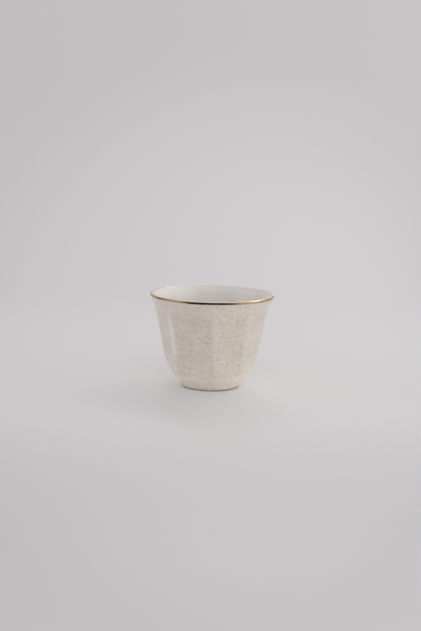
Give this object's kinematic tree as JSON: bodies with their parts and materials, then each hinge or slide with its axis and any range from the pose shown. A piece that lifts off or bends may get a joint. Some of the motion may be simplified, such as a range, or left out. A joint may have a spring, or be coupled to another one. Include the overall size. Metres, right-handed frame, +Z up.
{
  "type": "arabic coffee cup",
  "caption": "Small handleless coffee cup, flared and fluted, on a low foot ring, with a speckled outer glaze, a white bowl and a gold line round the lip.",
  "frame": {"origin": "centre of the circle that the foot ring stands on", "axes": "+Z up along the cup's axis to the rim, +X and +Y through the middles of wide flutes"},
  "size_m": [0.0654, 0.0654, 0.05],
  "materials": {
    "biscuit": "matt fired clay",
    "speckled_glaze": "glossy beige with fine dark specks",
    "white_glaze": "glossy white",
    "base_glaze": "glossy beige with fine dark specks",
    "gold": "burnished gold"
  },
  "bodies": {
    "root": {"porcelain_body": "biscuit", "outer_glaze": "speckled_glaze", "inner_glaze": "white_glaze", "base_glaze": "base_glaze", "rim_gilding": "gold"}
  },
  "joints": []
}
